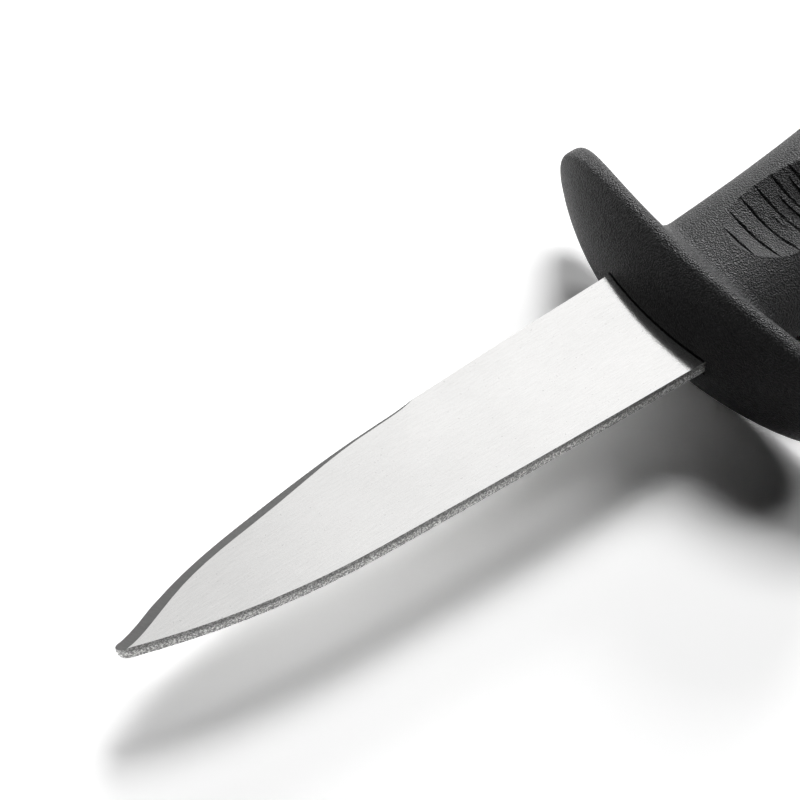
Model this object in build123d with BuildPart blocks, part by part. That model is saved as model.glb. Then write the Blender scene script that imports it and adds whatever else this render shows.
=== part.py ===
"""Oyster knife: a stamped steel blade pinned into a rigid core, with a guard and grip moulded over both.

Frame: +X runs from the blade's tip to the butt and +Z is up, in millimetres. The knife lies on Z = 0, on
the lower rim of its guard and the belly of its grip, and the middle of its length is over the origin.
Places along the knife are distances from the seat plane, where the blade's long edges enter the guard.
"""

from build123d import *
import math
import os

# Overall
blade_reach = 76.4  # from the seat plane forward to the tip
handle_length = 100.0  # from the seat plane back to the butt
overrun = 1.0  # how far a cutting body passes the faces that it cuts

# Blade
blade_thickness = 2.0
root_half_width = 8.6
waist_half_width = 6.9  # where the long taper ends and the point begins
waist_reach = 46.0
taper_bow = 0.15  # how far the taper stands outside a straight line
point_half_width = 1.25  # where the point meets its blunt nose
nose_length = 0.95

# Ground edge: one bevel on the upper face of the far edge, running out towards the guard
bevel_width = 2.0
bevel_depth = 1.75
taper_station_shares = ((0.65, -0.08), (0.83, 0.26), (1.0, 0.57))  # along the taper, of the bevel
point_station_shares = ((0.36, 0.92), (0.73, 1.0), (1.0, 1.2))  # along the point, of the bevel

# Tang, hidden in the handle
shoulder_depth = 4.0  # how far the blade's full width enters the guard
tang_half_width = 5.5
tang_tail = 7.0  # steel behind the middle of the last pin
tang_corner = 2.5

# Tang pins
pin_diameter = 3.0
pin_chamfer = 0.4
pin_place_shares = (0.45, 0.57)  # of the handle's length, from the seat plane
pin_reach_share = 0.63  # of the palm's height on its shallower side

# Guard: a wide oval plate, bulged front and back down to a thin round rim, with its wings swept back
guard_half_width = 27.0
guard_half_height = 9.4
guard_nose = 0.7  # how far the middle of its front stands before the seat plane
guard_back = 8.0  # from the seat plane to the middle of its back
guard_front_sweep = 8.1  # from the middle back to the ends of the wings
guard_back_sweep = 2.45
guard_front_bulge = 4.0  # from the middle back to the rim
guard_back_bulge = -3.45  # below zero, because this one is forward to the rim
outline_fullness = 2.4  # exponent of the oval seen from the front, where 2 is an ellipse
outline_points = 16  # on a quarter of it
rim_round = 1.1
neck_fillet = 2.5  # hollow between the guard's back and the neck

# Grip: an oval body, given by its sizes at its fattest place
palm_half_width = 14.4
palm_top = 9.2
palm_bottom = 9.4
butt_round = 4.0
# Place along the handle, half width, top and bottom, each as a share of the size that it follows
grip_shares = (
    (0.03, 0.72, 0.61, 0.80),
    (0.10, 0.74, 0.67, 0.81),
    (0.17, 0.76, 0.75, 0.82),
    (0.25, 0.79, 0.865, 0.86),
    (0.38, 0.90, 0.975, 0.95),
    (0.54, 1.0, 1.0, 1.0),
    (0.72, 0.90, 0.90, 0.93),
    (0.86, 0.84, 0.82, 0.88),
    (1.0, 0.80, 0.74, 0.80),
)

# Thumb rest: a dish across which saw-tooth grooves run, their steep sides towards the thumb's push
rest_start = 10.0
rest_end = 36.0
rest_low_place = 17.0
rest_low_height = 5.04  # above the blade's middle plane
rest_front_radius = 11.5  # along the handle, before the lowest place
rest_back_radius = 30.0
rest_cross_radius = 16.0
first_groove = 12.5
groove_pitch = 2.5
groove_depth = 0.7
groove_half_width = 7.2  # of the widest one, where its bottom would meet the dish
groove_width_shares = (0.46, 0.79, 0.95, 1.0, 0.98, 0.94, 0.80, 0.56)
# Saw-tooth section of a groove: place as a share of its pitch and height as a share of its depth
groove_section_shares = ((-0.04, 1.0), (0.0, 0.0), (0.15, 0.7), (0.7, 1.0))

# Core: one rigid moulding that fills the grip, with a flange that stiffens the guard
core_shares = (
    (0.05, 0.62, 0.32, 0.54),
    (0.12, 0.57, 0.31, 0.54),
    (0.30, 0.62, 0.32, 0.58),
    (0.44, 0.76, 0.66, 0.68),
    (0.60, 0.80, 0.74, 0.74),
    (0.76, 0.68, 0.62, 0.66),
    (0.96, 0.56, 0.44, 0.50),
)
flange_half_width = 16.0
flange_half_height = 5.0
flange_thickness = 2.5

# Hanging hole
hole_diameter = 7.0
hole_from_butt = 11.0
hole_lining = 1.8  # grip material between the hole and the core
hole_round = 0.7

# Fits
slot_gap = 0.25  # round the blade where it enters the guard
tang_gap = 0.05
pin_gap = 0.05
bond_gap = 0.1  # between the core and what is moulded over it

# Places that follow from the sizes above
seat = (blade_reach - handle_length) / 2
tip = seat - blade_reach
middle = max(guard_half_height, palm_bottom)
guard_reach = guard_half_height + overrun
core_start = shoulder_depth + bond_gap
tang_length = pin_place_shares[-1] * handle_length + tang_tail
pin_reach = pin_reach_share * min(palm_top, palm_bottom)
hole_place = handle_length - hole_from_butt
rest_axis_height = rest_low_height + rest_cross_radius


def across(place):
    """The plane across the knife at a place along it, centred on the blade's middle plane."""
    return Plane(origin=(seat + place, 0, middle), x_dir=(0, 1, 0), z_dir=(1, 0, 0))


def ovals(shares, grow=0):
    """Ovals across the handle, as shares of the palm's half width, top and bottom, grown all round."""
    sections = []
    for place, half_width, top, bottom in shares:
        high = top * palm_top + grow
        low = bottom * palm_bottom + grow
        with BuildSketch(across(place * handle_length)) as section:
            with Locations((0, (high - low) / 2)):
                Ellipse(half_width * palm_half_width + grow, (high + low) / 2)
        sections.append(section.sketch)
    return sections


def core_form(grow=0):
    """The core's outer form without its holes, grown all round for the cavity that it fills."""
    with BuildPart() as form:
        loft(ovals(core_shares, grow))
        with BuildSketch(across(core_start - grow)):
            Ellipse(flange_half_width + grow, flange_half_height + grow)
        extrude(amount=flange_thickness + 2 * grow)
    return form.part


def bow_radius(half_chord, rise):
    """Radius of the arc that rises so far over a chord."""
    return (half_chord**2 + rise**2) / (2 * rise)


def guard_face(front, sweep, bulge):
    """Everything behind a face of the guard, swept back seen from above and bulged seen from the side."""
    swing = bow_radius(guard_half_width, sweep)
    crown = bow_radius(guard_half_height, bulge)
    depth = crown - math.copysign(math.sqrt(crown**2 - guard_reach**2), crown)
    with BuildPart() as behind:
        with BuildSketch(Plane.XZ):
            with BuildLine():
                upper = Vector(front + depth, middle + guard_reach)
                lower = Vector(front + depth, middle - guard_reach)
                ThreePointArc(lower, (front, middle), upper)
                Polyline(upper, (front + swing, upper.Y), (front + swing, lower.Y), lower)
            make_face()
        revolve(axis=Axis((front + swing, 0, 0), (0, 0, 1)))
    return behind.part


def rest_height(place):
    """Height of the dish's bottom over the blade's middle plane."""
    offset = place - rest_low_place
    radius = rest_front_radius if offset < 0 else rest_back_radius
    return rest_low_height + radius - math.sqrt(radius**2 - offset**2)


def pin_positions():
    """Where the tang pins stand."""
    return [(seat + share * handle_length, 0, middle) for share in pin_place_shares]


# Blade outline: a slightly bowed taper, then a tangent arc to a blunt nose
with BuildLine() as far_edge:
    taper = ThreePointArc(
        (seat, root_half_width),
        (seat - waist_reach / 2, (root_half_width + waist_half_width) / 2 + taper_bow),
        (seat - waist_reach, waist_half_width),
    )
    point = TangentArc(taper @ 1, (tip + nose_length, point_half_width), tangent=taper % 1)

# Steel that the grinding wheel takes off the far edge: a loft of triangles across the blade
with BuildPart() as ground_off:
    stations = [(taper @ along, depth_share) for along, depth_share in taper_station_shares]
    stations += [(point @ along, depth_share) for along, depth_share in point_station_shares]
    stations.append((Vector(tip - overrun, point_half_width), point_station_shares[-1][1]))
    rise = overrun * bevel_depth / bevel_width
    for corner, depth_share in stations:
        top = blade_thickness / 2 + rise
        inner = corner.Y - depth_share * bevel_width - overrun
        outer = corner.Y + overrun
        foot = blade_thickness / 2 - depth_share * bevel_depth - rise
        with BuildSketch(across(corner.X - seat)):
            with BuildLine():
                Polyline((inner, top), (outer, foot), (outer, top), close=True)
            make_face()
    loft()

# Blade and tang, stamped from one sheet
with BuildPart() as blade:
    with BuildSketch(Plane.XY.offset(middle - blade_thickness / 2)):
        with BuildLine():
            add(taper)
            add(point)
            ThreePointArc(point @ 1, (tip, 0), (tip + nose_length, -point_half_width))
            mirror(taper, Plane.XZ)
            mirror(point, Plane.XZ)
            Line((seat, -root_half_width), (seat, root_half_width))
        make_face()
        with Locations((seat + shoulder_depth / 2, 0)):
            Rectangle(shoulder_depth, 2 * root_half_width)
        with Locations((seat + tang_length / 2, 0)):
            RectangleRounded(tang_length, 2 * tang_half_width, tang_corner)
        with Locations(*pin_positions()):
            Circle(pin_diameter / 2 + pin_gap, mode=Mode.SUBTRACT)
    extrude(amount=blade_thickness)
    add(ground_off.part, mode=Mode.SUBTRACT)

# Tang pins: steel dowels across the core and the tang
with BuildPart() as tang_pins:
    with Locations(*pin_positions()):
        Cylinder(pin_diameter / 2, 2 * pin_reach)
    chamfer(tang_pins.edges().filter_by(GeomType.CIRCLE), pin_chamfer)

# Core, with its pocket for the tang, its pin holes and a wide hole that the grip lines
core_blank = core_form()
with BuildPart() as handle_core:
    add(core_blank)
    with BuildSketch(across(core_start - overrun)):
        Rectangle(2 * (tang_half_width + tang_gap), blade_thickness + 2 * tang_gap)
    extrude(amount=tang_length - core_start + overrun + tang_gap, mode=Mode.SUBTRACT)
    with Locations(*pin_positions()):
        Hole(pin_diameter / 2 + pin_gap)
    with Locations((seat + hole_place, 0, middle)):
        Hole(hole_diameter / 2 + hole_lining)

# Guard: a quarter of its outline between its two faces, rounded at the rim, then mirrored twice
with BuildPart() as guard:
    with BuildSketch(across(-guard_nose - overrun)):
        with BuildLine():
            rim = []
            for point in range(outline_points + 1):
                aside = math.cos(math.pi / 2 * point / outline_points)
                up = math.sqrt(1 - aside**outline_fullness)
                rim.append((aside * guard_half_width, up * guard_half_height))
            Spline(*rim)
            Polyline(rim[-1], (0, 0), rim[0])
        make_face()
    extrude(amount=guard_back + guard_nose + guard_back_sweep + 2 * overrun)
    add(guard_face(seat - guard_nose, guard_front_sweep, guard_front_bulge), mode=Mode.INTERSECT)
    add(guard_face(seat + guard_back, guard_back_sweep, guard_back_bulge), mode=Mode.SUBTRACT)
    fillet(guard.edges().sort_by(SortBy.LENGTH)[-2:], rim_round)
    mirror(about=Plane.XZ)
    mirror(about=Plane.XY.offset(middle))

# Dish of the thumb rest, turned about a line above the thumb, and the saw-tooth grooves across it
with BuildPart() as rest_cutter:
    with BuildSketch(Plane.XZ):
        with BuildLine():
            low = Vector(seat + rest_low_place, middle + rest_low_height)
            start = Vector(seat + rest_start, middle + rest_height(rest_start))
            end = Vector(seat + rest_end, middle + rest_height(rest_end))
            TangentArc(low, start, tangent=(-1, 0))
            TangentArc(low, end, tangent=(1, 0))
            axis_level = middle + rest_axis_height
            Polyline(end, (end.X, axis_level), (start.X, axis_level), start)
        make_face()
    revolve(axis=Axis((seat, 0, middle + rest_axis_height), (1, 0, 0)))
    for groove, width_share in enumerate(groove_width_shares):
        place = first_groove + groove * groove_pitch
        bottom = rest_height(place) - groove_depth
        dish_radius = rest_axis_height - rest_height(place)
        aside = width_share * groove_half_width
        radius = 1 / (1 / dish_radius + 2 * groove_depth / aside**2)
        groove_axis = middle + bottom + radius
        section = [
            (seat + place + along * groove_pitch, middle + bottom + up * groove_depth)
            for along, up in groove_section_shares
        ]
        with BuildSketch(Plane.XZ):
            with BuildLine():
                Polyline(*section, (section[-1][0], groove_axis), (section[0][0], groove_axis), close=True)
            make_face()
        revolve(axis=Axis((seat, 0, groove_axis), (1, 0, 0)))

# Room in the guard and grip for the core and the blade, round the column that lines the hanging hole
core_room = core_form(bond_gap)
with BuildPart() as inside:
    add(core_room)
    with Locations((seat + hole_place, 0, middle)):
        Hole(hole_diameter / 2 + hole_lining - bond_gap)
    with BuildSketch(across(-guard_nose - overrun)):
        Rectangle(2 * (root_half_width + slot_gap), blade_thickness + 2 * slot_gap)
    extrude(amount=guard_nose + overrun + core_start)

# Guard and grip: one moulding over the core, open only at the blade's slot and the hanging hole
with BuildPart() as guard_and_grip:
    loft(ovals(grip_shares))
    fillet(guard_and_grip.faces().sort_by(Axis.X)[-1].edges(), butt_round)
    add(guard.part)
    fillet(guard_and_grip.edges(Select.NEW), neck_fillet)
    add(inside.part, mode=Mode.SUBTRACT)
    add(rest_cutter.part, mode=Mode.SUBTRACT)
    with Locations((seat + hole_place, 0, middle)):
        Hole(hole_diameter / 2)
    fillet(guard_and_grip.edges(Select.NEW), hole_round)

os.makedirs("parts", exist_ok=True)
pieces = {
    "blade": blade,
    "tang_pins": tang_pins,
    "handle_core": handle_core,
    "guard_and_grip": guard_and_grip,
}
for name, piece in pieces.items():
    piece.part.label = name
    export_step(piece.part, f"parts/{name}.step")
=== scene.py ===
"""Oyster knife on a white sweep, lit by three soft boxes behind its grip and by the glow of a dim room."""

import math

import bpy
from mathutils import Matrix, Vector

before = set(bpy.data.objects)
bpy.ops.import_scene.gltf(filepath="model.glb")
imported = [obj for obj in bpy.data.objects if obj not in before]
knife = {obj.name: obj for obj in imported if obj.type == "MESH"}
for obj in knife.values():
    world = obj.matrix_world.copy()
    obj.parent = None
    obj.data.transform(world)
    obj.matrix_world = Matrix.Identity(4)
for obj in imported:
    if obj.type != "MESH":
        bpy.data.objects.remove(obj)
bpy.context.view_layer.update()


# Blade: one stamped sheet of stainless steel with satin faces. Its near edge is left as the press sheared
# it, smooth at the top and torn below, and a wheel has ground a bevel along the far edge of the point.
# The bevel's steel is painted dark grey, a painted shade for the dim reflection it shows.


class Signal:
    """A value that varies over a surface, held as a node's output socket, so that sums on it read as sums."""

    def __init__(self, tree, socket=None):
        self.tree = tree
        self.socket = socket

    def node(self, kind, settings, inputs, output=0):
        """Adds a node with its settings first, then its sockets' values or links, and gives one output back."""
        made = self.tree.nodes.new(kind)
        for name, value in settings.items():
            setattr(made, name, value)
        for name, value in inputs.items():
            if isinstance(value, Signal):
                self.tree.links.new(value.socket, made.inputs[name])
            else:
                made.inputs[name].default_value = value
        return Signal(self.tree, made.outputs[output] if made.outputs else None)

    def sum(self, operation, *values):
        return self.node("ShaderNodeMath", {"operation": operation}, dict(enumerate(values)))

    def __add__(self, other):
        return self.sum("ADD", self, other)

    def __sub__(self, other):
        return self.sum("SUBTRACT", self, other)

    def __rsub__(self, other):
        return self.sum("SUBTRACT", other, self)

    def __mul__(self, other):
        return self.sum("MULTIPLY", self, other)

    def __abs__(self):
        return self.sum("ABSOLUTE", self)

    __radd__ = __add__
    __rmul__ = __mul__

    def rises(self, low, high):
        """0 below the low value and 1 above the high one, with a smooth change between them."""
        span = {"From Min": low, "From Max": high}
        return self.node("ShaderNodeMapRange", {"interpolation_type": "SMOOTHSTEP"}, {"Value": self, **span})

    def tint(self, first, second):
        """A colour that goes from the first to the second as this value goes from 0 to 1."""
        mixed = {"Factor": self, "A": (*first, 1), "B": (*second, 1)}
        made = self.tree.nodes.new("ShaderNodeMix")
        made.data_type = "RGBA"
        for socket in made.inputs:
            if socket.enabled and socket.name in mixed:
                value = mixed[socket.name]
                if isinstance(value, Signal):
                    self.tree.links.new(value.socket, socket)
                else:
                    socket.default_value = value
        return Signal(self.tree, next(s for s in made.outputs if s.enabled))


def new_finish(name):
    """A material with an empty node tree and the tools to fill it."""
    finish = bpy.data.materials.new(name)
    finish.use_nodes = True
    finish.node_tree.nodes.clear()
    return finish, Signal(finish.node_tree)


def surface(shade, **inputs):
    """The material's surface shader, from its sockets' names with spaces written as underscores."""
    named = {name.replace("_", " "): value for name, value in inputs.items()}
    body = shade.node("ShaderNodeBsdfPrincipled", {}, named)
    shade.node("ShaderNodeOutputMaterial", {}, {"Surface": body})


def wear(piece, finish):
    """Gives a piece its one finish."""
    piece.data.materials.clear()
    piece.data.materials.append(finish)


steel, shade = new_finish("blade_steel")
place = shade.node("ShaderNodeTexCoord", {}, {}, "Object")
facing = shade.node("ShaderNodeTexCoord", {}, {}, "Normal")
upward = shade.node("ShaderNodeSeparateXYZ", {}, {"Vector": facing}, "Z")
flat = abs(upward).rises(0.93, 0.97)
sheared = 1 - abs(upward).rises(0.25, 0.45)
ground = (1 - flat) * (1 - sheared)

clouds = shade.node("ShaderNodeTexNoise", {}, {"Vector": place, "Scale": 90.0, "Detail": 3.0})
along = shade.node("ShaderNodeMapping", {}, {"Vector": place, "Scale": (1, 14, 14)})
rolling_lines = shade.node("ShaderNodeTexNoise", {}, {"Vector": along, "Scale": 500.0, "Detail": 4.0})
rough = {"Scale": 4200.0, "Detail": 3.0, "Roughness": 0.65}
torn = shade.node("ShaderNodeTexNoise", {}, {"Vector": place, **rough})
tears = torn.rises(0.42, 0.62)
across = shade.node("ShaderNodeMapping", {}, {"Vector": place, "Scale": (12, 1, 1)})
wheel_lines = shade.node("ShaderNodeTexNoise", {}, {"Vector": across, "Scale": 450.0, "Detail": 3.0})

fine = shade.node("ShaderNodeTexNoise", {}, {"Vector": place, "Scale": 2600.0, "Detail": 2.0})
specks = fine.rises(0.64, 0.76)
satin = 0.10 * (clouds - 0.5) + 0.14 * (rolling_lines - 0.5) + 0.08 * (fine - 0.5) - 0.16 * specks
brightness = flat * (0.87 + satin)
height = shade.node("ShaderNodeSeparateXYZ", {}, {"Vector": place}, "Z")
broken = 1 - height.rises(0.0093, 0.0098)  # the lower part of the edge, where the sheet tore
brightness = brightness + sheared * (0.19 + 0.33 * tears + broken * (0.12 + 0.45 * tears))
# the ground bevel is painted far darker than the faces: painted shade in place of its dim reflection
brightness = brightness + ground * (0.145 + 0.08 * (wheel_lines - 0.5))
steel_colour = brightness.tint((0, 0, 0), (1.0, 0.995, 0.985))
relief = sheared * tears * 1.0 + flat * (0.02 * rolling_lines + 0.05 * torn) + ground * wheel_lines * 0.06
bumps = shade.node("ShaderNodeBump", {}, {"Height": relief, "Distance": 0.00008, "Strength": 0.8})
surface(
    shade,
    Base_Color=steel_colour,
    Metallic=1.0,
    Roughness=flat * 0.11 + sheared * 0.5 + ground * 0.48,
    Normal=bumps,
)
wear(knife["blade"], steel)


# Tang pins: two short dowels of drawn steel, with the die's fine lines along them. They are pushed
# through the core and the tang before the grip is moulded over their ends.
drawn, shade = new_finish("pin_steel")
place = shade.node("ShaderNodeTexCoord", {}, {}, "Object")
along = shade.node("ShaderNodeMapping", {}, {"Vector": place, "Scale": (1, 1, 0.05)})
die_lines = shade.node("ShaderNodeTexNoise", {}, {"Vector": along, "Scale": 6000.0, "Detail": 3.0})
bumps = shade.node("ShaderNodeBump", {}, {"Height": die_lines, "Distance": 0.00002, "Strength": 0.6})
surface(
    shade,
    Base_Color=die_lines.tint((0.50, 0.50, 0.50), (0.72, 0.72, 0.71)),
    Metallic=1.0,
    Roughness=0.26 + 0.12 * die_lines,
    Normal=bumps,
)
wear(knife["tang_pins"], drawn)


# Core: a rigid plastic moulding that fills the grip and holds the tang. It is hidden, and its skin is
# left a little rough so that the grip's material bonds to it.
core_plastic, shade = new_finish("core_plastic")
place = shade.node("ShaderNodeTexCoord", {}, {}, "Object")
skin = shade.node("ShaderNodeTexNoise", {}, {"Vector": place, "Scale": 1800.0, "Detail": 4.0})
flow = shade.node("ShaderNodeTexNoise", {}, {"Vector": place, "Scale": 60.0, "Detail": 2.0})
bumps = shade.node("ShaderNodeBump", {}, {"Height": skin, "Distance": 0.00006, "Strength": 0.7})
surface(
    shade,
    Base_Color=flow.rises(0.3, 0.7).tint((0.045, 0.045, 0.05), (0.07, 0.07, 0.076)),
    Roughness=0.45 + 0.2 * skin,
    Normal=bumps,
)
wear(knife["handle_core"], core_plastic)


# Guard and grip: one soft black moulding over the core. The mould is spark-eroded, so every surface has
# the same fine pebbled grain, and handling has polished the highest lines a little.
elastomer, shade = new_finish("grip_elastomer")
place = shade.node("ShaderNodeTexCoord", {}, {}, "Object")
smooth = {"feature": "SMOOTH_F1"}
round_grains = {"Vector": place, "Scale": 4800.0, "Smoothness": 0.5}
pebbles = 1 - shade.node("ShaderNodeTexVoronoi", smooth, round_grains)
pits = shade.node("ShaderNodeTexNoise", {}, {"Vector": place, "Scale": 3000.0, "Detail": 3.0, "Roughness": 0.6})
flow = shade.node("ShaderNodeTexNoise", {}, {"Vector": place, "Scale": 45.0, "Detail": 3.0})
grain = pebbles.rises(0.25, 0.85) * 0.7 + pits.rises(0.3, 0.7) * 0.3
bumps = shade.node("ShaderNodeBump", {}, {"Height": grain, "Distance": 0.00016, "Strength": 1.0})
surface(
    shade,
    Base_Color=(0.8 * grain + 0.2 * flow).tint((0.009, 0.009, 0.010), (0.028, 0.028, 0.029)),
    Roughness=0.56 - 0.2 * grain,
    Specular_IOR_Level=0.28,
    Normal=bumps,
)
wear(knife["guard_and_grip"], elastomer)


# Floor: a sheet of white paper under the knife, swept out far past the picture. To the camera and in the
# steel it reads as the white background, plain white away from the knife, and it keeps the knife's shadow.
paper, shade = new_finish("white_paper")
place = shade.node("ShaderNodeTexCoord", {}, {}, "Object")
fibres = shade.node("ShaderNodeTexNoise", {}, {"Vector": place, "Scale": 900.0, "Detail": 3.0})
seen_white = 1.27  # lifts the lit paper to plain white for the camera
rays = ("Is Camera Ray", "Is Glossy Ray", "Is Transmission Ray")
sees = [shade.node("ShaderNodeLightPath", {}, {}, ray) for ray in rays]
seen = (sees[0] + sees[1] + sees[2]).rises(0.0, 1.0)
lit = shade.node("ShaderNodeBsdfDiffuse", {}, {"Color": fibres.tint((0.43, 0.43, 0.43), (0.47, 0.47, 0.47))})
white = shade.node("ShaderNodeBsdfDiffuse", {}, {"Color": (seen_white, seen_white, seen_white, 1)})
from_knife = shade.node("ShaderNodeVectorMath", {"operation": "LENGTH"}, {0: place}, "Value")
plain = shade.node("ShaderNodeEmission", {}, {"Color": (1, 1, 1, 1), "Strength": 1.0})
swept = shade.node("ShaderNodeMixShader", {}, {0: from_knife.rises(0.2, 0.5), 1: white, 2: plain})
both = shade.node("ShaderNodeMixShader", {}, {0: seen, 1: lit, 2: swept})
shade.node("ShaderNodeOutputMaterial", {}, {"Surface": both})
floor_radius = 12
bpy.ops.mesh.primitive_circle_add(vertices=96, radius=floor_radius, fill_type="NGON", location=(0, 0, 0))
floor = bpy.context.object
floor.name = "floor"
wear(floor, paper)


# Light: soft boxes behind the knife, low and high, with a weaker one past its butt. They model the grip
# and throw the shadow. A dim room glows softly above them. The blade mirrors only that glow, so the boxes
# skip it.
box_lights = bpy.data.collections.new("box_lights")
box_lights.objects.link(knife["blade"])
box_lights.collection_objects[0].light_linking.link_state = "EXCLUDE"
box_distance = 2.5
for name, direction, width, height, strength in (
    ("low_box", (0.76, 0.58, 0.29), 0.85, 0.80, 25.0),
    ("high_box", (0.51, 0.46, 0.73), 0.88, 0.88, 20.0),
    ("butt_box", (0.75, -0.10, 0.65), 0.7, 0.7, 10.0),
):
    towards = Vector(direction).normalized()
    bpy.ops.object.light_add(type="AREA", location=towards * box_distance)
    box = bpy.context.object
    box.name = name
    box.rotation_euler = towards.to_track_quat("Z", "Y").to_euler()
    box.visible_camera = False
    box.data.shape = "RECTANGLE"
    box.data.size = width
    box.data.size_y = height
    box.data.energy = strength * math.pi * width * height
    box.light_linking.receiver_collection = box_lights

room = bpy.data.worlds.new("room")
bpy.context.scene.world = room
room.use_nodes = True
room.node_tree.nodes.clear()
shade = Signal(room.node_tree)
sees = [shade.node("ShaderNodeLightPath", {}, {}, name) for name in ("Is Camera Ray", "Is Transmission Ray")]
seen = sees[0] + sees[1]
mirrored = shade.node("ShaderNodeLightPath", {}, {}, "Is Glossy Ray")
outward = shade.node("ShaderNodeTexCoord", {}, {}, "Generated")
glow_centre = Vector((0.52, 0.44, 0.73)).normalized()
nearness = shade.node("ShaderNodeVectorMath", {"operation": "DOT_PRODUCT"}, {0: outward, 1: glow_centre}, "Value")
dim_walls = 0.005 + 0.16 * mirrored
wide_glow = nearness.rises(0.1, 0.84) * 0.20 * mirrored
main_glow = nearness.rises(0.86, 0.98) * (0.1 + 0.37 * mirrored)
bright_core = nearness.rises(0.96, 1.0) * 0.27 * mirrored
glow = wide_glow + dim_walls + main_glow + bright_core
sky = shade.node("ShaderNodeBackground", {}, {"Color": (1, 1, 1, 1), "Strength": glow * (1 - seen) + seen})
shade.node("ShaderNodeOutputWorld", {}, {"Surface": sky})


# Camera: where the photograph was taken from, low over the tip and to its right, with a long lens.
camera = bpy.data.objects.new("camera", bpy.data.cameras.new("camera"))
bpy.context.scene.collection.objects.link(camera)
right = Vector((0.7986, -0.6018, 0.0))
behind = Vector((-0.3730, -0.4950, 0.7850)).normalized()
turned = Matrix((right, behind.cross(right), behind)).transposed().to_4x4()
camera.matrix_world = Matrix.Translation((-0.1526, -0.1363, 0.2398)) @ turned
camera.data.sensor_width = 36
camera.data.lens = 113.5
camera.data.clip_start = 0.01
camera.data.clip_end = 100
bpy.context.scene.camera = camera
bpy.context.scene.view_settings.view_transform = "Standard"
